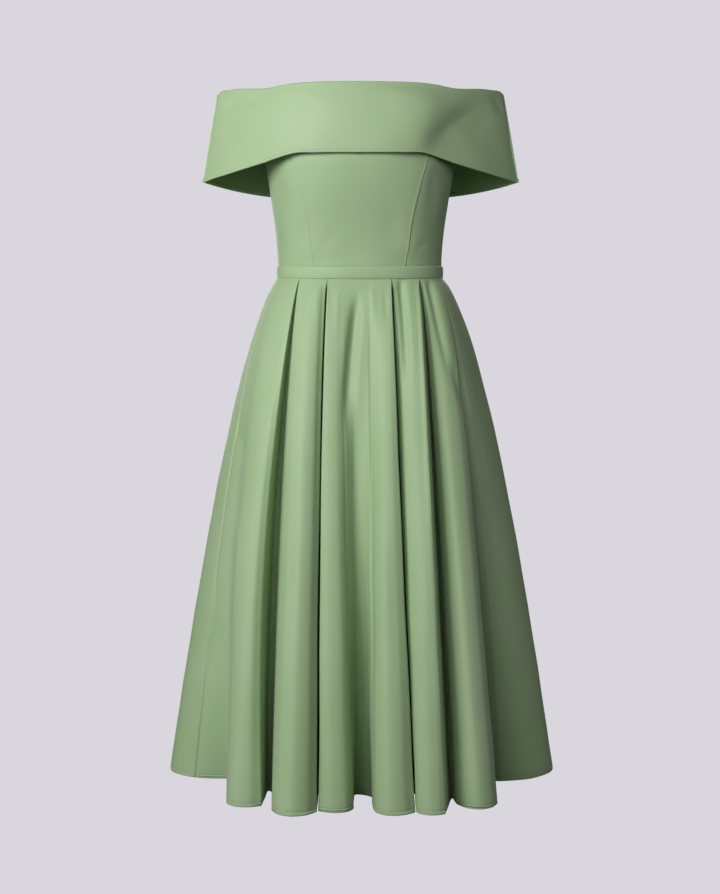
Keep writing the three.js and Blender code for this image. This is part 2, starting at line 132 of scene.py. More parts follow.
# A closed shell of cloth under a grid of outer points: rows run upwards, columns round the body.
# rims says how round the bottom and top edges are, stitched that the bottom one is a stitched hem, and
# squareEnds that both side edges meet their neighbours squarely in the side plane.
def clothShell(name, grid, wall, rims=(1.0, 1.0), stitched=False, squareEnds=False):
    rows, columns = grid.shape[:2]
    wall = np.broadcast_to(np.asarray(wall, float), (rows,))
    normal = gridNormals(grid, squareEnds)
    inner = grid - normal * wall[:, None, None]
    up = unit(np.gradient(grid, axis=0))
    turns = np.array([30, 60, 90, 120, 150]) * rad

    def rim(row, way, bulge):
        middle = (grid[row] + inner[row]) / 2
        half = (grid[row] - inner[row]) / 2
        reach = way * up[row] * (wall[row] / 2 * bulge)
        return np.stack([middle + half * math.cos(a) + reach * math.sin(a) for a in turns])

    topRim = rim(-1, 1, rims[1])
    bottomRim = rim(0, -1, rims[0])[::-1]
    ring = np.concatenate([grid, topRim, inner[::-1], bottomRim])
    count = len(ring)
    m, j = np.meshgrid(np.arange(count), np.arange(columns - 1), indexing="ij")
    here, beyond = m * columns + j, (m + 1) % count * columns + j
    faces = np.stack([here, here + 1, beyond + 1, beyond], -1).reshape(-1, 4).tolist()
    caps = []
    topCount = len(turns)
    innerAt = lambda i: rows + topCount + (rows - 1 - i)
    for column in (0, columns - 1):
        loops = [[i, i + 1, innerAt(i + 1), innerAt(i)] for i in range(rows - 1)]
        loops.append([rows - 1] + list(range(rows, rows + topCount)) + [innerAt(rows - 1)])
        loops.append([innerAt(0)] + list(range(count - topCount, count)) + [0])
        for loop in loops:
            loop = [k * columns + column for k in loop]
            caps.append(loop if column == 0 else loop[::-1])
    mesh = bpy.data.meshes.new(name)
    mesh.from_pydata((ring.reshape(-1, 3) * mm).tolist(), [], faces + caps)
    mesh.polygons.foreach_set("use_smooth", [True] * len(faces) + [False] * len(caps))

    # One map in metres along the weave, and one with the distance from a hem
    across = walked(grid, 1)
    across -= across[:, columns // 2][:, None]
    height = walked(grid, 0)
    up = np.arange(rows)
    ringRow = np.concatenate([up, [rows - 1] * topCount, up[::-1], [0] * topCount])
    loopVertex = np.empty(len(mesh.loops), int)
    mesh.loops.foreach_get("vertex_index", loopVertex)
    row, column = ringRow[loopVertex // columns], loopVertex % columns
    weave = mesh.uv_layers.new(name="weave")
    weave.data.foreach_set("uv", np.stack([across[row, column], height[row, column]], -1).ravel() * mm)
    edge = mesh.uv_layers.new(name="edge")
    away = height if stitched else height + 1000
    edge.data.foreach_set("uv", np.stack([across[row, column], away[row, column]], -1).ravel() * mm)
    mesh.update()
    piece = newObject(name, mesh)
    layer = walked(grid, 1)[:, -1]
    area = np.sum((layer[1:] + layer[:-1]) / 2 * np.diff(height.mean(axis=1))) * mm * mm
    print(f"{name}: {len(mesh.polygons)} faces, cloth {area:.3f} m2")
    return piece


# A soft trough or ridge: its two ends as seen from the front or back (x, z), the half width on the
# left of the way from start to end, and the depth: above 0 stands out, below 0 sinks in. far is the
# half width on the right, where it differs. rise and fall are the shares of its length over which it
# fades in and out, and bow bends it sideways.
def crease(start, end, width, depth, far=None, rise=0.3, fall=0.45, bow=0):
    return {"start": np.array(start, float), "end": np.array(end, float), "width": width,
            "far": far or width, "depth": depth, "rise": rise, "fall": fall, "bow": bow}


def pressed(grid, creases, front):
    normal = gridNormals(grid)
    moved = np.zeros(grid.shape[:2])
    facing = grid[..., 1] < 0 if front else grid[..., 1] > 0
    for line in creases:
        p = grid[..., [0, 2]] - line["start"]
        length = np.linalg.norm(line["end"] - line["start"])
        way = (line["end"] - line["start"]) / length
        k = (p @ way) / length
        along = np.clip(k, 0, 1)
        side = p @ np.array([-way[1], way[0]]) + line["bow"] * 4 * along * (1 - along)
        fade = smooth(k / line["rise"]) * smooth((1 - k) / line["fall"])
        width = np.where(side < 0, line["far"], line["width"])
        moved += line["depth"] * np.exp(-(side / width) ** 2) * fade * facing
    return grid + normal * moved[..., None]


# A faint slow waver, so that no panel is dead flat
def wavered(grid, amount, size, seed):
    normal = gridNormals(grid)
    draw = np.random.default_rng(seed)
    u = walked(grid, 1)
    v = walked(grid, 0)
    moved = np.zeros(grid.shape[:2])
    for _ in range(7):
        turn = draw.uniform(0, math.pi)
        period = size * draw.uniform(0.6, 1.7)
        slant = u * math.cos(turn) + v * math.sin(turn) * 0.6
        moved += np.sin(slant * 2 * math.pi / period + draw.uniform(0, 6.3))
    return grid + normal * (moved * amount / 2.6)[..., None]


# An edge at the waist runs on a little behind the waistband. end: 0 for the bottom row, -1 for the top
def behindBand(grid, end):
    inward = -gridNormals(grid)[end] * np.array([cloth["bandTuck"], cloth["bandTuck"], 0])
    up = 1 if end == -1 else -1
    rows = [grid[end] + inward + np.array([0, 0, up * reach]) for reach in cloth["bandTuckHeights"]]
    return np.concatenate([grid, np.stack(rows)] if end == -1 else [np.stack(rows[::-1]), grid])


# Torso: the rings and seams that bodice, waistband and the skirt's top share
torso = {
    "bandHalfHeight": 9, "waistDip": 5, "topFront": 226, "topUnderarm": 178, "topBack": 222,
    "roundness": 2.35,
    "rings": [
        {"z": -20, "halfWidth": 121.5, "front": 91.5, "back": 81},
        {"z": 9, "halfWidth": 119.5, "front": 91, "back": 80},
        {"z": 35, "halfWidth": 120.5, "front": 94, "back": 82},
        {"z": 65, "halfWidth": 123.5, "front": 100, "back": 87},
        {"z": 95, "halfWidth": 128, "front": 108, "back": 93},
        {"z": 130, "halfWidth": 133.5, "front": 116, "back": 99},
        {"z": 160, "halfWidth": 138.5, "front": 120, "back": 103},
        {"z": 190, "halfWidth": 143, "front": 116, "back": 103},
        {"z": 226, "halfWidth": 147, "front": 105, "back": 99},
    ],
    "frontSeam": [(0, 64.5), (70, 73), (160, 95), (226, 110)],      # z and x
    "backSeam": [(0, 58), (70, 66), (160, 84), (226, 96)],
    "slopeFront": 35,     # where the top edge starts down to the underarm, in degrees
    "slopeBack": 96, "slopeReach": 49,
    "notchBottom": 160,   # the zip's slider stands in a notch between the side panels
    "notchSlope": 4, "notchHalfWidth": 1.35,
    "sideRadius": 96,     # turns a gap at a seam into degrees
}


def torsoPoints(degrees, z):
    degrees, z = np.broadcast_arrays(np.asarray(degrees, float), np.asarray(z, float))
    s, c = np.sin(degrees * rad), np.cos(degrees * rad)
    rings = torso["rings"]
    depth = np.where(c >= 0, readRows(rings, "z", z, "front"), readRows(rings, "z", z, "back"))
    power = 2 / torso["roundness"]
    return np.stack([readRows(rings, "z", z, "halfWidth") * np.sign(s) * np.abs(s) ** power,
                     -depth * np.sign(c) * np.abs(c) ** power, z], -1)


def angleAt(x, z):
    share = np.minimum(1, np.abs(x) / readRows(torso["rings"], "z", z, "halfWidth"))
    return np.arcsin(share ** (torso["roundness"] / 2)) / rad


def dipAt(degrees):
    return torso["waistDip"] * np.maximum(0, np.cos(degrees * rad)) ** 1.2


def bodiceTop(degrees):
    side = np.abs(degrees)
    nearer = np.minimum(side, 360 - side)
    down = smooth((side - torso["slopeFront"]) / torso["slopeReach"])
    up = smooth((nearer - torso["slopeBack"]) / torso["slopeReach"])
    front = mix(torso["topFront"], torso["topUnderarm"], down)
    back = mix(torso["topUnderarm"], torso["topBack"], up)
    return np.where(side <= 90, front, back)


def seamAngle(z, forSlider=False):
    wide = smooth((z - torso["notchBottom"]) / torso["notchSlope"]) if forSlider else 0
    return mix(cloth["seamGap"] / 2, torso["notchHalfWidth"], wide) / torso["sideRadius"] / rad


# Columns that crowd towards both ends, where the edges roll in
def crowded(count, pull=0.75):
    u = np.linspace(0, 1, count + 1)
    return mix(u, (1 - np.cos(math.pi * u)) / 2, pull)


bodice = {
    "columns": 44, "rows": 64,
    "pucker": 0.12, "puckerEvery": 11, "puckerWidth": 6, "lapHeight": 0.6, "lapWidth": 3,
    "tuckWidth": 1.6,     # how far a side panel runs on beneath the middle one
    "tuckDepth": 1.2, "tuckSlope": 1.5,
    "creases": [
        crease((113, 230), (63, 6), 26, 3.6, far=24, rise=0.1, fall=0.12),
        crease((-113, 230), (-63, 6), 24, 1.8, far=24, rise=0.1, fall=0.12),
        crease((-104, 158), (-96, 96), 7, 1.1),
        crease((-122, 150), (-108, 70), 8, -1.3),
        crease((-88, 66), (-70, 22), 6, -0.8),
        crease((-30, 60), (-58, 26), 8, -0.7),
        crease((36, 74), (60, 30), 8, -0.8),
        crease((104, 150), (96, 70), 7, -1.1),
        crease((120, 140), (106, 46), 6, 0.8),
        crease((96, 44), (74, 22), 5, -0.7),
    ],
    "backCreases": [
        crease((-110, 140), (-92, 60), 8, -1.2),
        crease((-20, 70), (-50, 24), 9, -0.9),
        crease((24, 84), (52, 28), 9, -0.8),
        crease((112, 130), (94, 52), 8, -1),
    ],
}


# edges says for a panel's first and last edge whether it lies over its neighbour, runs on under it, or
# only rolls in
def bodicePanel(name, node, seamFrom, seamTo, front, edges=("over", "over")):
    columns = crowded(bodice["columns"])
    v = np.linspace(0, 1, bodice["rows"])[:, None]
    guess = mix(torso["bandHalfHeight"], torso["topFront"], v)
    degrees = mix(seamFrom(guess), seamTo(guess), columns)
    bottom = torso["bandHalfHeight"] + cloth["seamGap"] - dipAt(degrees)
    z = mix(bottom, bodiceTop(degrees), v)
    grid = torsoPoints(mix(seamFrom(z), seamTo(z), columns), z)
    grid = pressed(grid, bodice["creases" if front else "backCreases"], front)
    grid = wavered(grid, 0.25, 90, len(name))
    # each seam rolls the two edges in, and draws the cloth up a little beside it
    u = walked(grid, 1)
    rest = u[:, -1:] - u
    near = np.minimum(u, rest)
    roll = 0 * near
    for edge, away in zip(edges, (u, rest)):
        if edge == "over":
            roll -= bodice["lapHeight"] * np.exp(-(away / bodice["lapWidth"]) ** 2)
        elif edge == "under":
            slope = (bodice["tuckWidth"] + bodice["tuckSlope"] - away) / bodice["tuckSlope"]
            roll += bodice["tuckDepth"] * smooth(slope)
        else:
            roll += cloth["seamRoll"] * np.exp(-(away / cloth["seamRollWidth"]) ** 2)
    draw = np.sin(z * 2 * math.pi / bodice["puckerEvery"]) * np.exp(-near / bodice["puckerWidth"])
    draw *= 1 - np.exp(-near)
    grid = grid + gridNormals(grid) * (bodice["pucker"] * draw - roll)[..., None]
    piece = clothShell(name, behindBand(grid, 0), cloth["wall"], rims=(0.2, 1.0))
    finishCloth(piece, node)


def finishCloth(piece, node, look="crepe"):
    piece.data.materials.append(materials[look])
    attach(piece, "dress")
    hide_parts(node)


# Materials

def addNode(tree, kind, inputs=None, **settings):
    node = tree.nodes.new(kind)
    for key, value in settings.items():
        setattr(node, key, value)
    for key, value in (inputs or {}).items():
        if isinstance(value, bpy.types.NodeSocket):
            tree.links.new(value, node.inputs[key])
        else:
            node.inputs[key].default_value = value
    return node


def newMaterial(name):
    material = bpy.data.materials.new(name)
    material.use_nodes = True
    material.node_tree.nodes.clear()
    return material, material.node_tree


def maths(tree, operation, a, b=0.0, c=0.0):
    return addNode(tree, "ShaderNodeMath", {0: a, 1: b, 2: c}, operation=operation).outputs[0]


def noise(tree, place, scale):
    return addNode(tree, "ShaderNodeTexNoise", {"Vector": place, "Scale": scale, "Detail": 2.0}).outputs


def blended(tree, share, a, b, kind="MIX"):
    inputs = {0: share, 6: a, 7: b}
    return addNode(tree, "ShaderNodeMix", inputs, data_type="RGBA", blend_type=kind).outputs[2]


def bumped(tree, strength, distance, height):
    inputs = {"Strength": strength, "Distance": distance * mm, "Height": height}
    return addNode(tree, "ShaderNodeBump", inputs).outputs[0]


def shaded(tree, inputs):
    shader = addNode(tree, "ShaderNodeBsdfPrincipled", inputs)
    addNode(tree, "ShaderNodeOutputMaterial", {"Surface": shader.outputs[0]})


# Satin-backed polyester crepe, matt side out: piece-dyed, twisted yarns give a fine dry grain under a
# soft milky sheen, and the turned edges are stitched in matching thread
crepe = {
    "shade": "#9EBE8A",
    "light": "#AFC49E",
    "stitch": "#93AE82",
    "sheen": "#F2F0E8",
    "cloudSize": 110,
    "twillPeriod": 2.6,      # the real diagonal is 0.6 mm apart, drawn coarser so that it shows
    "twillTone": 0.06,
    "grainSize": 0.9,
    "grainTone": 0.05,
    "grainHeight": 0.8,      # beside the twill's
    "stitchLength": 3.2,
    "stitchShare": 0.8,
    "stitchWidth": 0.45,
    "stitchHeight": 2.5,
}


def makeCrepe():
    material, tree = newMaterial("satinBackedCrepe")
    weave = addNode(tree, "ShaderNodeUVMap", uv_map="weave").outputs[0]
    edge = addNode(tree, "ShaderNodeUVMap", uv_map="edge").outputs[0]
    place = addNode(tree, "ShaderNodeTexCoord").outputs["Object"]
    cloud = noise(tree, place, 1000 / crepe["cloudSize"])[0]
    dyed = blended(tree, cloud, srgb(crepe["shade"]), srgb(crepe["light"]))
    grain = noise(tree, weave, 1000 / crepe["grainSize"])[0]
    # the twill's diagonal, down to the right
    thread = addNode(tree, "ShaderNodeSeparateXYZ", {0: weave})
    diagonal = maths(tree, "ADD", thread.outputs[0], thread.outputs[1])
    turns = 2 * math.pi / (math.sqrt(2) * crepe["twillPeriod"] * mm)
    twill = maths(tree, "SINE", maths(tree, "MULTIPLY", diagonal, turns))
    tone = maths(tree, "MULTIPLY_ADD", twill, crepe["twillTone"], 1.0 - crepe["grainTone"])
    tone = maths(tree, "MULTIPLY_ADD", grain, 2 * crepe["grainTone"], tone)
    woven = blended(tree, 1.0, dyed, tone, "MULTIPLY")
    # stitches: short dashes at the stitch line of a turned edge
    split = addNode(tree, "ShaderNodeSeparateXYZ", {0: edge})
    offLine = maths(tree, "ABSOLUTE", maths(tree, "SUBTRACT", split.outputs[1], cloth["hemTurn"] * mm))
    line = maths(tree, "LESS_THAN", offLine, crepe["stitchWidth"] / 2 * mm)
    dash = maths(tree, "FRACT", maths(tree, "DIVIDE", split.outputs[0], crepe["stitchLength"] * mm))
    stitch = maths(tree, "MULTIPLY", line, maths(tree, "LESS_THAN", dash, crepe["stitchShare"]))
    colour = blended(tree, stitch, woven, srgb(crepe["stitch"]))
    height = maths(tree, "MULTIPLY_ADD", grain, crepe["grainHeight"], twill)
    height = maths(tree, "MULTIPLY_ADD", stitch, crepe["stitchHeight"], height)
    rough = addNode(tree, "ShaderNodeMapRange", {0: grain, 3: 0.5, 4: 0.64}).outputs[0]
    shaded(tree, {"Base Color": colour, "Roughness": rough, "IOR": 1.48,
                  "Normal": bumped(tree, 0.3, 0.1, height), "Sheen Weight": 0.2, "Sheen Roughness": 0.4,
                  "Sheen Tint": srgb(crepe["sheen"])})
    return material


# Woven polyester zip tape: plain weave, dyed to match, quite dull
zipTapeLook = {"colour": "#8BAA7B", "threadSpacing": 0.5, "grainScale": 900}


def makeZipTape():
    material, tree = newMaterial("wovenZipTape")
    weave = addNode(tree, "ShaderNodeUVMap", uv_map="weave").outputs[0]
    split = addNode(tree, "ShaderNodeSeparateXYZ", {0: weave})
    turn = 2 * math.pi / (zipTapeLook["threadSpacing"] * mm)
    across = maths(tree, "SINE", maths(tree, "MULTIPLY", split.outputs[0], turn))
    along = maths(tree, "SINE", maths(tree, "MULTIPLY", split.outputs[1], turn))
    woven = maths(tree, "MULTIPLY", across, along)
    grain = noise(tree, weave, zipTapeLook["grainScale"])[1]
    colour = blended(tree, 0.2, srgb(zipTapeLook["colour"]), grain, "SOFT_LIGHT")
    shaded(tree, {"Base Color": colour, "Roughness": 0.85, "Normal": bumped(tree, 0.5, 0.1, woven),
                  "Sheen Weight": 0.2})
    return material


# Lacquered zinc die casting: slider and pull, sprayed to match, smooth with a faint orange peel. The
# coils share it
zipMetalLook = {"colour": "#A4BD98", "peelSize": 0.8}


def makeZipMetal():
    material, tree = newMaterial("lacqueredZinc")
    place = addNode(tree, "ShaderNodeTexCoord").outputs["Object"]
    peel = noise(tree, place, 1000 / zipMetalLook["peelSize"])
    colour = blended(tree, 0.12, srgb(zipMetalLook["colour"]), peel[1], "SOFT_LIGHT")
    rough = addNode(tree, "ShaderNodeMapRange", {0: peel[0], 3: 0.24, 4: 0.36}).outputs[0]
    shaded(tree, {"Base Color": colour, "Roughness": rough, "Normal": bumped(tree, 0.15, 0.05, peel[0]),
                  "Coat Weight": 0.4, "Coat Roughness": 0.12})
    return material


materials = {"crepe": makeCrepe(), "zipTape": makeZipTape(), "zipMetal": makeZipMetal()}
for node in ("zip_slider", "zip_pull"):
    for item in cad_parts[node].material_slots:
        item.material = materials["zipMetal"]
print("materials made")


# Bodice

def frontSeam(z):
    return angleAt(readRows(torso["frontSeam"], 0, z, 1), z)


def backSeam(z):
    return 180 - angleAt(readRows(torso["backSeam"], 0, z, 1), z)


tuckAngle = bodice["tuckWidth"] / torso["sideRadius"] / rad
bodicePanel("bodiceFront", "bodice_front",
            lambda z: -frontSeam(z) + seamAngle(z), lambda z: frontSeam(z) - seamAngle(z), True)
bodicePanel("bodiceSideFrontLeft", "bodice_side_front_left",
            lambda z: frontSeam(z) - tuckAngle, lambda z: 90 - seamAngle(z, True), True,
            ("under", "plain"))
bodicePanel("bodiceSideFrontRight", "bodice_side_front_right",
            lambda z: -90 + seamAngle(z), lambda z: -frontSeam(z) + tuckAngle, True, ("over", "under"))
bodicePanel("bodiceSideBackLeft", "bodice_side_back_left",
            lambda z: 90 + seamAngle(z, True), lambda z: backSeam(z) + tuckAngle, False,
            ("plain", "under"))
bodicePanel("bodiceSideBackRight", "bodice_side_back_right",
            lambda z: 360 - backSeam(z) - tuckAngle, lambda z: 270 + tuckAngle, False,
            ("under", "under"))
bodicePanel("bodiceBack", "bodice_back",
            lambda z: backSeam(z) + seamAngle(z), lambda z: 360 - backSeam(z) - seamAngle(z), False)
print("bodice made")


# Waistband: folded double, so it is thicker and stands a little proud
waistband = {"proud": 2.4, "wall": 3, "bulge": 0.5, "rows": 9, "columns": 150}


def bandHalf(name, node, start, end):
    v = np.linspace(0, 1, waistband["rows"])[:, None]
    degrees = np.linspace(start, end, waistband["columns"])[None, :]
    half = torso["bandHalfHeight"] - waistband["wall"] / 2
    grid = torsoPoints(degrees, torso["bandHalfHeight"] + 0 * v)
    out = waistband["proud"] + waistband["bulge"] * (4 * v * (1 - v) - 1)
    grid = grid + gridNormals(torsoPoints(degrees, torso["bandHalfHeight"] + v)) * out[..., None]
    grid[..., 2] = mix(-half, half, v) - dipAt(degrees)
    piece = clothShell(name, wavered(grid, 0.12, 60, len(name)), waistband["wall"])
    finishCloth(piece, node)


bandGap = 0.012      # degrees, so the two halves meet
bandHalf("waistbandFront", "waistband_front", -90 + bandGap, 90 - bandGap)
bandHalf("waistbandBack", "waistband_back", 90 + bandGap, 270 - bandGap)
print("waistband made")


# Collar: a wide band folded over at its top edge, sewn to the bodice at front and back only
collar = {
    "halfWidthTop": 209, "halfWidthBottom": 230.5,
    "frontTop": 110, "frontBottom": 126, "backTop": 104, "backBottom": 118,
    "topZ": 261.2, "tipRise": 2.4, "saddleDip": 4.2, "saddleAt": 139, "saddleWidth": 28,
    "bottomZTip": 132, "bottomZBack": 116.5,
    "bulge": 4, "bulgeAtTip": 0.3, "cornerDrop": 4, "cornerReach": 6,
    "foldRadius": 3.2, "foldAtTip": 4, "turnIn": 30, "uprightEnd": 4,
    "joinedTo": 95, "freeFrom": 125, "sideRoundness": 2.4, "tipRounding": 0.25,
    "columns": 190, "outerRows": 34, "leftShare": 0.991, "fadeTop": 0.12, "fadeSide": 0.05,
    "frontEdge": [(0, 161), (60, 161.5), (95, 161.2), (113, 157.3), (136, 151), (164, 145),
                  (194, 139), (217, 135), (231, 132)],      # x and z
    "creases": [
        crease((62, 148), (104, 262), 48, 5, far=26, fall=0.3),
        crease((86, 138), (204, 244), 18, -10, far=80, rise=0.45, fall=0.4, bow=-14),
        crease((196, 232), (160, 196), 9, -1, rise=0.4),
        crease((190, 254), (211, 228), 5, -1.5, rise=0.4),
        crease((-204, 238), (-128, 243), 9, -3, rise=0.35),
        crease((-206, 210), (-150, 186), 14, -1.6),
        crease((-60, 236), (-96, 176), 20, -1.8),
        crease((40, 244), (24, 190), 22, -1.4),
    ],
    "backCreases": [
        crease((-120, 150), (-186, 240), 18, -6, rise=0.5, fall=0.35),
        crease((130, 148), (196, 226), 17, -4.5, rise=0.5, fall=0.4),
        crease((50, 240), (84, 150), 22, -2),
        crease((-20, 236), (-50, 146), 24, -1.8),
    ],
}


def collarEdge(degrees, halfWidth, depth):
    s, c = np.sin(degrees * rad), np.cos(degrees * rad)
    soften = lambda share: np.abs(share) * np.hypot(share, collar["tipRounding"])
    return np.stack([halfWidth * np.sign(s) * np.abs(s) ** (2 / collar["sideRoundness"]),
                     -depth * np.sign(c) * soften(c) / soften(1.0), 0 * s], -1)


def collarHalf(name, node, middle):
    u = np.linspace(0, 1, collar["columns"])
    degrees = middle + 90 * np.sin((u - 0.5) * math.pi)
    inFront = middle == 0
    r = collar["foldRadius"]
    topDepth = collar["frontTop" if inFront else "backTop"]
    top = collarEdge(degrees, collar["halfWidthTop"], topDepth)
    inner = collarEdge(degrees, collar["halfWidthTop"] - 2 * collar["foldAtTip"], topDepth - 2 * r)
    bottomDepth = collar["frontBottom" if inFront else "backBottom"]
    bottom = collarEdge(degrees, collar["halfWidthBottom"], bottomDepth)
    share = np.abs(bottom[:, 0]) / collar["halfWidthBottom"]
    saddle = np.exp(-((np.abs(top[:, 0]) - collar["saddleAt"]) / collar["saddleWidth"]) ** 2)
    top[:, 2] = collar["topZ"] + collar["tipRise"] * share**6 - collar["saddleDip"] * saddle - r
    corner = np.clip((share - 1) * collar["halfWidthTop"] / collar["cornerReach"] + 1, 0, 1)
    top[:, 2] -= collar["cornerDrop"] * (1 - np.sqrt(1 - corner**2 + 1e-9))
    inner[:, 2] = top[:, 2]
    bottom[:, 2] = (readRows(collar["frontEdge"], 0, np.abs(bottom[:, 0]), 1) if inFront
                    else mix(collar["bottomZBack"], collar["bottomZTip"], share**3.5))
    before, after = (collarEdge(degrees + step, collar["halfWidthTop"], topDepth)
                     for step in (-0.5, 0.5))
    along = after - before
    outward = unit(np.stack([along[:, 1], -along[:, 0], 0 * degrees], -1))

    # where the turned-in layer ends: on the bodice in the middle, free over the arms
    x = np.abs(inner[:, 0])
    edgeZ = torso["topFront" if inFront else "topBack"]
    onBodice = angleAt(np.minimum(x, collar["freeFrom"]), edgeZ) * np.sign(inner[:, 0])
    sewn = torsoPoints(onBodice if inFront else 180 - onBodice, edgeZ + 0 * x)
    inward = unit(np.stack([-sewn[:, 0] / 2, -sewn[:, 1], 0 * x], -1))
    sewn = sewn + inward * cloth["wall"]
    sewn[:, 2] = edgeZ + cloth["seamGap"]
    free = inner.copy()
    free[:, 2] -= collar["turnIn"] - r
    apart = smooth((x - collar["joinedTo"]) / (collar["freeFrom"] - collar["joinedTo"]))
    end = mix(sewn, free, apart[:, None])
    upright = end + np.array([0, 0, collar["uprightEnd"]])

    turn = cloth["collarTurn"]
    layer = np.linalg.norm(top - bottom, axis=1).mean()
    edgeRows = np.array([0, 1, 2] + [turn + step for step in cloth["grooveRows"]] + [turn + 2]) / layer
    vs = np.concatenate([edgeRows, np.linspace((turn + 4) / layer, 1, collar["outerRows"])])
    bulge = mix(collar["bulge"], collar["bulgeAtTip"], share**4)[:, None]
    column = [mix(bottom, top, v) + outward * bulge * 4 * v * (1 - v) for v in vs]
    outerRows = len(column)
    for a in range(12, 181, 12):
        over = mix(top, inner, (1 - math.cos(a * rad)) / 2)
        over[:, 2] += r * math.sin(a * rad)
        column.append(over)
    for k in np.linspace(0, 1, 12)[1:]:
        column.append(mix(inner, upright, k))
    for k in (0.3, 0.6, 0.85, 1):
        column.append(mix(upright, end, k))
    grid = np.stack(column)
    grid[..., 0] *= np.where(grid[..., 0] < 0, collar["leftShare"], 1)
    side = 1 if inFront else -1
    grid[:, [0, -1], 1] = -side * cloth["seamGap"] / 2

    # creases and waver on the outer layer, fading out at the fold and at the two side seams
    fadeUp = np.zeros(len(grid))
    fadeUp[:outerRows] = smooth((1 - vs) / collar["fadeTop"])
    fadeSide = smooth(np.minimum(u, 1 - u) / collar["fadeSide"])
    shaped = pressed(grid, collar["creases" if inFront else "backCreases"], inFront)
    shaped = wavered(shaped, 0.5, 110, 5 if inFront else 6)
    grid = mix(grid, shaped, (fadeUp[:, None] * fadeSide)[..., None])
    groove = np.zeros(len(grid))
    away = vs * layer
    groove[:outerRows] = -cloth["grooveDepth"] * np.exp(-((away - turn) / cloth["grooveWidth"]) ** 2)
    grid = grid + gridNormals(grid, True) * groove[:, None, None]
    grid[:, [0, -1], 1] = -side * cloth["seamGap"] / 2
    wall = np.full(len(grid), cloth["wall"])
    wall[:outerRows] = mix(cloth["hemWall"], cloth["wall"], smooth((away - turn) / 2))
    piece = clothShell(name, grid, wall, rims=(1.0, 0.2), squareEnds=True)
    finishCloth(piece, node)


collarHalf("collarFront", "collar_front", 0)
collarHalf("collarBack", "collar_back", 180)
print("collar made")


# Skirt: one fold after another, all round. waist: its two edges in degrees from the middle of the
# front. first, last: its edges at the hem, (x, forward). bulge: how far its crest stands out. floor
# and floorWidth: the valley after it. soft: 0 for a pleat pressed in at the waist, else how slowly
# the valley sinks in below a smooth top. under: how far each edge is pressed in (above 0) or lies on
# top (below 0) where a pleat is folded. slit: how far a pleat's two edges part between waist and hem.
# opens: how slowly a pleat's valley deepens below the waist.
def skirtFold(waist, first, last, bulge, floor, floorWidth, soft=0, under=(0, 0), slit=0, opens=0.42):
    return {"waist": waist, "first": first, "last": last, "bulge": bulge, "floor": floor,
            "floorWidth": floorWidth, "soft": soft, "under": under, "slit": slit, "opens": opens}


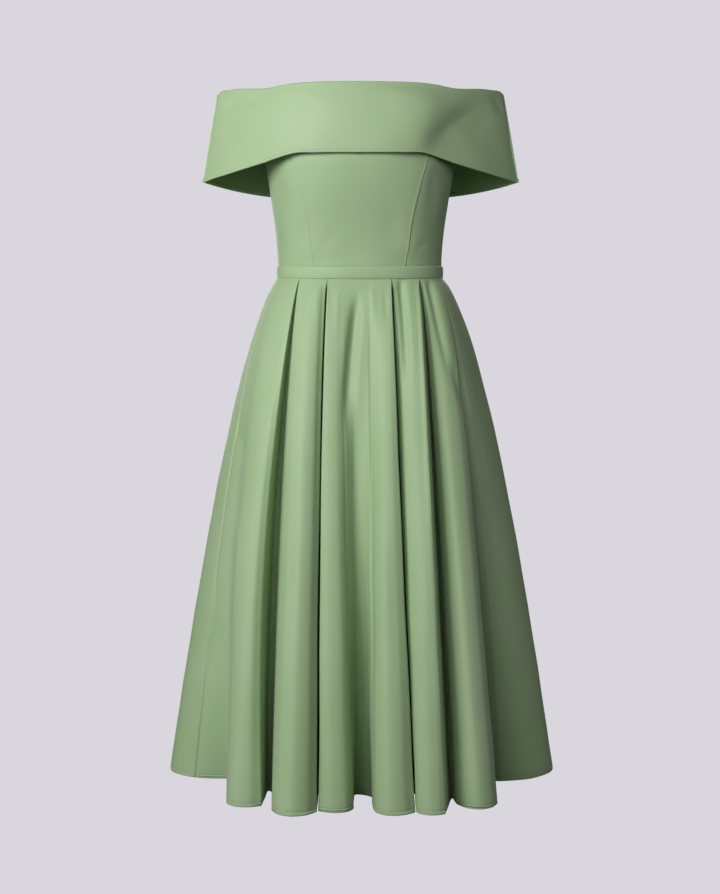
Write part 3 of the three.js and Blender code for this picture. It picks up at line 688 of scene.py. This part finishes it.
skirt = {
    "hemDrop": 735, "flarePower": 0.59, "flareStart": 0.01, "squareness": 2.6,
    "plainSeam": (0, 0.82),      # fold number and share of its crest
    "zipSeam": (7, 0.72),
    "upperRows": 62, "upperCrowding": 1.35, "upperEnd": 12, "waistRingZ": -20,
    "pressDepth": 1.5,    # how deep a folded edge sinks, soonest near the waist
    "pressRise": 0.35, "pressFade": 0.8,
    "slitRise": 0.025,    # parting starts just below the waist and ends at the hem
    "slitFade": 14,
    "tuckWidth": 2.4,     # how far the back panel runs on beneath the front one at the side seams
    "tuckDepth": 1.7,     # how far it sinks there beside the zip
    "plainDepth": 3,      # and at the plain seam, which shows as a shaded groove
    "plainWidth": 3.6, "plainRoll": 1.1, "plainRollWidth": 2.2, "lapHeight": 0.9, "lapWidth": 4,
    "folds": [
        skirtFold((-124, -77), (-258, -72), (-192, 63), 58, (-164, 92), 7, soft=1.7),
        skirtFold((-75.5, -42.3), (-184, 186), (-134, 213), 21, (-127, 136), 8, slit=1.0, opens=0.66),
        skirtFold((-41.7, -19.1), (-119.5, 236), (-57.8, 244), 28, (-57, 150), 3, under=(-1, 5), slit=3.8),
        skirtFold((-18.5, -8), (-56, 241), (-10.5, 210), 25, (5, 160), 24, soft=1.1, under=(-1, 0)),
        skirtFold((4, 17.9), (17.5, 228), (74, 247), 27, (75, 150), 3, under=(0, -1), slit=2.4),
        skirtFold((18.5, 40.3), (75.6, 246), (115, 254), 12, (127, 178), 9, under=(3, -1), slit=4.4),
        skirtFold((41.1, 62), (132, 204), (189, 200), 30, (168, 80), 5, soft=0.8, under=(2.5, 0)),
        skirtFold((64, 104), (203, 78), (263, -76), 53, (222, -88), 8, soft=1.3),
        skirtFold((106, 119), (238, -124), (196, -168), 20, (162, -148), 8, soft=1.3),
        skirtFold((123, 137.9), (170, -196), (110, -222), 24, (98, -132), 8, under=(0, 5), slit=3.4),
        skirtFold((138.5, 160.9), (100, -228), (44, -238), 24, (34, -136), 7, under=(-1, 4), slit=2.6),
        skirtFold((161.5, 178), (34, -236), (-16, -230), 24, (-26, -112), 18, soft=1.1, under=(-1, 0)),
        skirtFold((182, 198.9), (-38, -226), (-88, -232), 25, (-94, -140), 8, under=(0, -1), slit=2.4),
        skirtFold((199.5, 221.9), (-94, -230), (-150, -206), 24, (-150, -140), 9, under=(4, -1), slit=3.2),
        skirtFold((222.5, 234), (-164, -196), (-222, -142), 24, (-216, -84), 12, soft=1.4, under=(6, 0)),
    ],
    # edges that swing part way down, by fold number and edge: sideways, forward, and where they swing
    # farthest, with 0 at the waist and 1 at the hem
    "swings": {
        (1, "first"): (4, 0, 0.6), (1, "last"): (-14, -2, 0.55),
        (2, "first"): (3, 0, 0.6), (2, "last"): (-3, 0, 0.37),
        (3, "first"): (-3, 0, 0.37), (3, "last"): (-6, 0, 0.37),
        (4, "first"): (0, -14, 0.37), (4, "last"): (-6, 0, 0.37),
        (5, "first"): (-6, -13, 0.37), (5, "last"): (-4, 3, 0.37),
        (6, "first"): (-3, -10, 0.37), (6, "last"): (-8, 0, 0.5),
        (11, "first"): (4, 0, 0.37), (11, "last"): (10, -16, 0.37),
        (13, "last"): (6, -3, 0.37),
    },
    # points over a crest, as shares of it, and in a valley: share of it, depth, and the side it is on
    "crest": [0, 0.06, 0.18, 0.5, 0.82, 0.94, 1],
    "valley": [(0.1, 0.07, -1), (0.25, 0.5, -1), (0.42, 1, -1), (0.58, 1, 1), (0.75, 0.5, 1),
               (0.9, 0.07, 1)],
    "crestSamples": [3, 4, 8, 8, 4, 3],
    "valleySamples": [3, 4, 4, 3, 4, 4, 3],
    "creases": [
        crease((-180, -212), (-160, -286), 6, -2.6, rise=0.2, fall=0.6),
        crease((128, -128), (154, -214), 6, -3, rise=0.2, fall=0.6),
        crease((-112, -60), (-142, -240), 12, -2.4),
        crease((98, -12), (130, -172), 5, -4, rise=0.08, fall=0.6),
        crease((-74, -18), (-78, -84), 4, -1.3, rise=0.15),
        crease((-60, -22), (-62, -72), 4, 0.9, rise=0.15),
        crease((-30, -24), (-34, -96), 5, 0.9, rise=0.2),
        crease((-2, -26), (-20, -250), 7, -9, rise=0.25, fall=0.5, bow=2),
        crease((16, -20), (22, -110), 6, 1.6, rise=0.2),
        crease((34, -24), (38, -84), 4, -0.9, rise=0.2),
        crease((58, -12), (67, -190), 6, -6, rise=0.06, fall=0.6),
        crease((-210, -420), (-226, -640), 14, -3),
        crease((-166, -330), (-184, -560), 14, 2.6),
        crease((176, -300), (214, -560), 15, -3.2),
        crease((-92, -300), (-100, -520), 10, -1.4),
        crease((44, -340), (50, -620), 9, -1.4),
        crease((88, -300), (94, -560), 8, 1.2),
    ],
    "backCreases": [
        crease((120, -60), (150, -240), 12, -2.6),
        crease((-124, -50), (-156, -230), 12, -2.4),
        crease((70, -18), (76, -90), 4, -1.2, rise=0.15),
        crease((-64, -20), (-68, -84), 4, -1.2, rise=0.15),
        crease((10, -24), (16, -110), 6, -1.6, rise=0.2),
        crease((-190, -360), (-224, -600), 15, -3),
        crease((196, -380), (226, -620), 15, -3),
        crease((60, -320), (66, -560), 9, -1.4),
        crease((-60, -300), (-66, -600), 9, 1.2),
    ],
}


def flare(t):
    start = skirt["flareStart"] ** skirt["flarePower"]
    whole = (1 + skirt["flareStart"]) ** skirt["flarePower"]
    return ((t + skirt["flareStart"]) ** skirt["flarePower"] - start) / (whole - start)


def flat(pair):
    return np.array([pair[0], -pair[1]], float)


# The skirt's plan at t, 0 at the waist and 1 at the hem, as points in order round it
def skirtControls(t):
    out = flare(t)
    folds = skirt["folds"]
    press = (t ** skirt["pressRise"]) * (1 - t) ** skirt["pressFade"] * skirt["pressDepth"]
    parting = smooth(t / skirt["slitRise"]) * (1 - t ** skirt["slitFade"])
    swing = {}
    for edge, (x, forward, peak) in skirt["swings"].items():
        share = math.sin(math.pi * t ** (math.log(0.5) / math.log(peak)))
        swing[edge] = np.array([x, -forward]) * share
    none = np.zeros(2)
    waistPoint = lambda degrees: torsoPoints(degrees, skirt["waistRingZ"])[:2]

    def crestPoint(fold, u):
        start, end = flat(fold["first"]), flat(fold["last"])
        chord = end - start
        outward = np.array([chord[1], -chord[0]]) / np.linalg.norm(chord)
        squareness = mix(2.2, skirt["squareness"], t)
        return mix(start, end, u) + outward * fold["bulge"] * (1 - abs(2 * u - 1) ** squareness)

    # over a soft valley the cloth first spans the two crests, and settles into the fold lower down
    def settled(before, after, degrees, target, power):
        first, last = sum(before["waist"]) / 2, sum(after["waist"]) / 2
        last += 360 if last < first else 0
        k = ((degrees - first) % 360) / (last - first)
        a, b = crestPoint(before, 0.5), crestPoint(after, 0.5)
        reach = np.linalg.norm(b - a)
        leave, arrive = (unit(flat(one["last"]) - flat(one["first"])) * reach
                         for one in (before, after))
        spanned = ((2 * k**3 - 3 * k**2 + 1) * a + (k**3 - 2 * k**2 + k) * leave
                   + (3 * k**2 - 2 * k**3) * b + (k**3 - k**2) * arrive)
        return mix(spanned, target, t**power)

    points, angles = [], []
    for n, fold in enumerate(folds):
        after = (n + 1) % len(folds)
        before, following = folds[n - 1], folds[after]
        start, end = flat(fold["first"]), flat(fold["last"])
        swingFrom, swingTo = swing.get((n, "first"), none), swing.get((n, "last"), none)
        for u in skirt["crest"]:
            degrees = mix(fold["waist"][0], fold["waist"][1], u)
            near = waistPoint(degrees)
            away = near / np.linalg.norm(near)
            sideways = np.array([-away[1], away[0]])
            target = crestPoint(fold, u)
            if u < 0.5 and before["soft"]:
                target = settled(before, fold, degrees, target, before["soft"] * mix(0.8, 0.5, 2 * u))
            if u > 0.5 and fold["soft"]:
                power = fold["soft"] * mix(0.5, 0.8, 2 * u - 1)
                target = settled(fold, following, degrees, target, power)
            atFirst, atLast = max(0, 1 - u / 0.3) ** 1.5, max(0, (u - 0.7) / 0.3) ** 1.5
            sink = fold["under"][0] * atFirst + fold["under"][1] * atLast
            apart = parting / 2 * (before["slit"] * (u < 0.1) - fold["slit"] * (u > 0.9))
            point = mix(near, target, out) + mix(swingFrom, swingTo, u)
            points.append(point - away * sink * press + sideways * apart)
            angles.append(degrees)
        turn = 360 if after == 0 else 0
        nextWaist, nextStart = following["waist"][0] + turn, flat(following["first"])
        swingNext = swing.get((after, "first"), none)
        across = (nextStart - end) / np.linalg.norm(nextStart - end)
        floor = flat(fold["floor"])
        for k, depth, side in skirt["valley"]:
            degrees = mix(fold["waist"][1], nextWaist, k)
            near = waistPoint(degrees)
            away = near / np.linalg.norm(near)
            bottom = floor + across * side * fold["floorWidth"] / 2
            wall = mix(end if side < 0 else nextStart, bottom, depth) if depth < 1 else bottom
            if fold["soft"]:
                power = fold["soft"] * mix(0.8, 1, depth)
                point = mix(near, settled(fold, following, degrees, wall, power), out)
            else:
                edge = mix(end, nextStart, k)
                sideways = np.array([-away[1], away[0]])
                apart = parting * fold["slit"] * side * (1 - depth) / 2
                point = mix(near, edge, out) + (wall - edge) * t ** fold["opens"] + sideways * apart
            sink = (fold["under"][1] if side < 0 else following["under"][0]) * (1 - depth)
            points.append(point + mix(swingTo, swingNext, k) - away * sink * press)
            angles.append(degrees)
    angles = np.array(angles)
    waistZ = -torso["bandHalfHeight"] - cloth["seamGap"]
    z = mix(waistZ - dipAt(angles), -skirt["hemDrop"], t)
    return np.column_stack([np.array(points), z])


# Points on a closed smooth curve through the controls, at places counted in controls
def alongCurve(points, places):
    n = len(points)
    i = np.floor(places).astype(int)
    k = (places - i)[:, None]
    p0, p1, p2, p3 = (points[(i + d) % n] for d in (-1, 0, 1, 2))
    d0, d1, d2 = (np.maximum(np.linalg.norm(b - a, axis=1, keepdims=True), 1e-6) ** 0.5
                  for a, b in ((p0, p1), (p1, p2), (p2, p3)))
    t1 = ((p1 - p0) / d0 - (p2 - p0) / (d0 + d1) + (p2 - p1) / d1) * d1
    t2 = ((p2 - p1) / d1 - (p3 - p1) / (d1 + d2) + (p3 - p2) / d2) * d1
    return p1 + t1 * k + (3 * (p2 - p1) - 2 * t1 - t2) * k**2 + (2 * (p1 - p2) + t1 + t2) * k**3


perFold = len(skirt["crest"]) + len(skirt["valley"])


def placeOn(fold, share):
    steps = skirt["crest"]
    after = next(i for i, step in enumerate(steps) if step >= share)
    return fold * perFold + after - 1 + (share - steps[after - 1]) / (steps[after] - steps[after - 1])


def skirtPlaces(start, end):
    samples = skirt["crestSamples"] + skirt["valleySamples"]
    places = [start]
    for i in range(int(start), int(math.ceil(end))):
        count = samples[i % perFold]
        places += [i + k / count for k in range(count) if start + 0.02 < i + k / count < end - 0.02]
    return np.array(places + [end])


turn = cloth["hemTurn"]
hemRows = [0, 1, 2.2, turn - 2.4, *(turn + step for step in cloth["grooveRows"]), turn + 2.4, turn + 6]
skirtLength = skirt["hemDrop"] - torso["bandHalfHeight"]
upper = np.linspace(0, 1, skirt["upperRows"]) ** skirt["upperCrowding"]
upper = upper * (1 - (turn + skirt["upperEnd"]) / skirtLength)
levels = np.concatenate([upper, 1 - np.array(hemRows[::-1]) / skirtLength])
rings = [skirtControls(t) for t in levels[::-1]]


def skirtHalf(name, node, start, end, front):
    if end < start:
        end += perFold * len(skirt["folds"])
    places = skirtPlaces(start, end)
    grid = np.stack([alongCurve(ring, places) for ring in rings])
    # a few more columns up to each side seam, and past it on the back
    for edge, beside in ((0, 1), (-1, -2)):
        seam, last = grid[:, edge], grid[:, beside]
        gap = np.linalg.norm(seam - last, axis=1)[:, None]
        on = (seam - last) / gap
        step = np.minimum(skirt["tuckWidth"], gap * 0.8)
        extra = [seam - on * step * k for k in (1.0, 0.75, 0.5, 0.25)] + [seam]
        extra += [] if front else [seam + on * skirt["tuckWidth"] * k for k in (0.4, 0.7, 1.0)]
        if edge == 0:
            grid = np.concatenate([np.stack(extra[::-1], 1), grid[:, 1:]], axis=1)
        else:
            grid = np.concatenate([grid[:, :-1], np.stack(extra, 1)], axis=1)
    grid = pressed(grid, skirt["creases" if front else "backCreases"], front)
    grid = wavered(grid, 0.25, 190, 11 if front else 12)
    away = (1 - levels[::-1]) * skirtLength
    groove = -cloth["grooveDepth"] * np.exp(-((away - turn) / cloth["grooveWidth"]) ** 2)
    u = walked(grid, 1)
    rest = u[:, -1:] - u
    if front:
        roll = skirt["plainRoll"] * np.exp(-(u / skirt["plainRollWidth"]) ** 2)
        roll -= skirt["lapHeight"] * np.exp(-(rest / skirt["lapWidth"]) ** 2)
    else:
        roll = skirt["tuckDepth"] * smooth((2 * skirt["tuckWidth"] - u) / skirt["tuckWidth"])
        inGroove = (skirt["tuckWidth"] + skirt["plainWidth"] - rest) / skirt["plainWidth"]
        roll += skirt["plainDepth"] * smooth(inGroove)
    grid = grid + gridNormals(grid) * (groove[:, None] - roll)[..., None]
    wall = mix(cloth["hemWall"], cloth["wall"], smooth((away - turn) / 2))
    wall = np.append(wall, [cloth["wall"]] * 2)
    piece = clothShell(name, behindBand(grid, -1), wall, rims=(1.0, 0.2), stitched=True)
    finishCloth(piece, node)


leftSeam, rightSeam = placeOn(*skirt["plainSeam"]), placeOn(*skirt["zipSeam"])
skirtHalf("skirtFront", "skirt_front", leftSeam, rightSeam, True)
skirtHalf("skirtBack", "skirt_back", rightSeam, leftSeam, False)
print("skirt made")


# Concealed zip: a tape inside the side seam, with its row of coils
zipper = {
    "room": 0.9, "tapeWall": 0.9, "halfWidth": 5.2, "topZ": 158,
    "bodyRadius": 92,        # turns the tape's width into degrees at the bodice
    "bottomShare": 0.235,    # where it ends down the skirt, 0 at the waist and 1 at the hem
    "topShare": 0.002, "rows": 40,
    "probe": 0.1,            # how far either side of the seam the skirt is measured, in controls
    "coilPitch": 1.7, "coilLift": 0.1,
    "coil": (2.6, 0.8, 1.0),      # wide, tall and deep
}


def zipPath():
    rows = []
    offsets = np.linspace(-1, 1, 7)
    for t in np.linspace(zipper["bottomShare"], zipper["topShare"], zipper["rows"]):
        ring = skirtControls(t)
        ends = alongCurve(ring, rightSeam + np.array([-1, 1]) * zipper["probe"])
        wide = np.linalg.norm(np.diff(ends, axis=0))
        reach = zipper["halfWidth"] * (2 * zipper["probe"]) / wide
        rows.append(alongCurve(ring, rightSeam + offsets * reach))
    bandTop = torso["bandHalfHeight"]
    for z in np.concatenate([[1 - bandTop], np.linspace(bandTop, zipper["topZ"], zipper["rows"])]):
        degrees = 90 + offsets * zipper["halfWidth"] / zipper["bodyRadius"] / rad
        row = torsoPoints(degrees, max(z, bandTop))
        row[:, 2] = z
        rows.append(row)
    grid = np.stack(rows)
    return grid - gridNormals(grid) * (cloth["wall"] + zipper["room"])


def edited(step, **settings):
    bpy.ops.object.mode_set(mode="EDIT")
    bpy.ops.mesh.select_all(action="SELECT")
    step(**settings)
    bpy.ops.object.mode_set(mode="OBJECT")


tapeGrid = zipPath()
tape = clothShell("zipTape", tapeGrid, zipper["tapeWall"], rims=(0.3, 0.3))
finishCloth(tape, "zip_tape", look="zipTape")

middle = tapeGrid.shape[1] // 2
outward = gridNormals(tapeGrid)[:, middle]
spine = tapeGrid[:, middle] - outward * (zipper["tapeWall"] + zipper["coilLift"])
walk = np.concatenate([[0], np.cumsum(np.linalg.norm(np.diff(spine, axis=0), axis=1))])
stops = np.arange(2, walk[-1] - 1, zipper["coilPitch"])
at, inward = (np.column_stack([np.interp(stops, walk, line[:, k]) for k in range(3)])
              for line in (spine, outward))
inward = -unit(inward)
upward = unit(np.gradient(at, axis=0))
sideways = np.cross(upward, inward)
wide, tall, deep = zipper["coil"]
bpy.ops.mesh.primitive_cylinder_add(vertices=8, radius=0.5, depth=1, rotation=(0, math.pi / 2, 0))
coil = bpy.context.object
bpy.ops.object.transform_apply(location=False, rotation=True, scale=False)
edited(bpy.ops.mesh.bevel, offset=0.12, segments=1)
shape = np.array([v.co[:] for v in coil.data.vertices])
faces = [list(p.vertices) for p in coil.data.polygons]
points, coilFaces = [], []
for n in range(len(at)):
    frameAxes = np.stack([sideways[n] * wide, inward[n] * deep, upward[n] * tall])
    points.append(at[n] + inward[n] * deep / 2 + shape @ frameAxes)
    coilFaces += [[i + n * len(shape) for i in face] for face in faces]
coilMesh = bpy.data.meshes.new("zipCoils")
coilMesh.from_pydata((np.concatenate(points) * mm).tolist(), [], coilFaces)
coils = newObject("zipCoils", coilMesh)
bpy.data.objects.remove(coil)
bpy.ops.object.select_all(action="DESELECT")
bpy.context.view_layer.objects.active = coils
coils.select_set(True)
edited(bpy.ops.mesh.normals_make_consistent, inside=False)
bpy.ops.object.shade_smooth_by_angle(angle=40 * rad)
coils.data.materials.append(materials["zipMetal"])
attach(coils, "dress")
print("zip made:", len(at), "coils")


# Studio: one seamless sweep of pale paper all round, which hardly lights the dress, in metres
studio = {
    "paper": "#D9D7DD",
    "floorZ": -1.12, "flatRadius": 3.4, "outerRadius": 7.0, "wallTop": 4.5,
    "glow": 0.026,
}

def makeSweep():
    radii = [0.01] + list(np.linspace(0.6, studio["flatRadius"], 6))
    heights = [0.0] * len(radii)
    for k in np.linspace(0, 1, 13)[1:]:
        radii.append(mix(studio["flatRadius"], studio["outerRadius"], math.sin(k * math.pi / 2)))
        heights.append((studio["wallTop"] - studio["floorZ"]) * (1 - math.cos(k * math.pi / 2)))
    around = 72
    ways = [2 * math.pi * j / around for j in range(around)]
    points = [(r * math.cos(way), r * math.sin(way), studio["floorZ"] + h)
              for r, h in zip(radii, heights) for way in ways]
    corner = lambda i, j: i * around + j % around
    faces = [(corner(i, j), corner(i, j + 1), corner(i + 1, j + 1), corner(i + 1, j))
             for i in range(len(radii) - 1) for j in range(around)]
    faces.append(tuple(range(around))[::-1])
    mesh = bpy.data.meshes.new("paperSweep")
    mesh.from_pydata(points, [], [face[::-1] for face in faces])
    for polygon in mesh.polygons:
        polygon.use_smooth = True
    sweep = newObject("paperSweep", mesh)
    # Background paper, pale lilac grey and glowing evenly by itself, so it shows almost one tone
    material, tree = newMaterial("backgroundPaper")
    ray = addNode(tree, "ShaderNodeLightPath").outputs["Is Camera Ray"]
    strength = addNode(tree, "ShaderNodeMapRange", {0: ray, 3: studio["glow"], 4: 1.0})
    glow = addNode(tree, "ShaderNodeEmission",
                   {"Color": srgb(studio["paper"]), "Strength": strength.outputs[0]})
    addNode(tree, "ShaderNodeOutputMaterial", {"Surface": glow.outputs[0]})
    sweep.data.materials.append(material)
    sweep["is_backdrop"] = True


# A soft box, placed by its angle round from the front (left below 0) and up from level, in degrees, and
# by its distance from the height it aims at, in metres
def addLamp(name, level, up, away, aimZ, size, power):
    level, up = level * rad, up * rad
    way = np.array([math.sin(level) * math.cos(up), -math.cos(level) * math.cos(up), math.sin(up)])
    place = np.array([0, 0, aimZ]) + way * away
    bpy.ops.object.light_add(type="AREA", location=tuple(place), rotation=(math.pi / 2 - up, 0, level))
    light = bpy.context.object
    light.name = name
    light.data.shape = "DISK"
    light.data.size = size
    light.data.energy = power


makeSweep()
addLamp("key", level=-38, up=19, away=1.8, aimZ=0.1, size=0.9, power=19.5)
addLamp("front", level=-18, up=22, away=3.0, aimZ=-0.25, size=1.5, power=25)
addLamp("low", level=-48, up=-12, away=2.2, aimZ=0.0, size=0.9, power=3)
addLamp("edge", level=-86, up=6, away=2.6, aimZ=-0.1, size=1.1, power=6.5)
addLamp("fill", level=56, up=14, away=2.8, aimZ=-0.5, size=1.5, power=4.5)
addLamp("farEdge", level=86, up=5, away=3.0, aimZ=-0.3, size=1.1, power=7)
addLamp("backKey", level=176, up=24, away=3.0, aimZ=-0.2, size=1.8, power=46)
addLamp("backFill", level=-160, up=12, away=3.0, aimZ=-0.2, size=1.5, power=14)
world = bpy.data.worlds.new("studioAir")
bpy.context.scene.world = world
world.use_nodes = True
world.node_tree.nodes["Background"].inputs[0].default_value = srgb(studio["paper"])
world.node_tree.nodes["Background"].inputs[1].default_value = studio["glow"]

view = {"place": (0, -2.5, -0.1282), "pitch": 2.935, "lens": 68.3, "sensor": 36}
bpy.ops.object.camera_add(location=view["place"], rotation=((90 - view["pitch"]) * rad, 0, 0))
camera = bpy.context.object
camera.data.lens = view["lens"]
camera.data.sensor_width = view["sensor"]
bpy.context.scene.camera = camera
bpy.context.scene.view_settings.view_transform = "Standard"
print("studio made")

({"cad": [list(map(float, corner)) for corner in cadBox],
           "visual": [list(map(float, corner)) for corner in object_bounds()]})
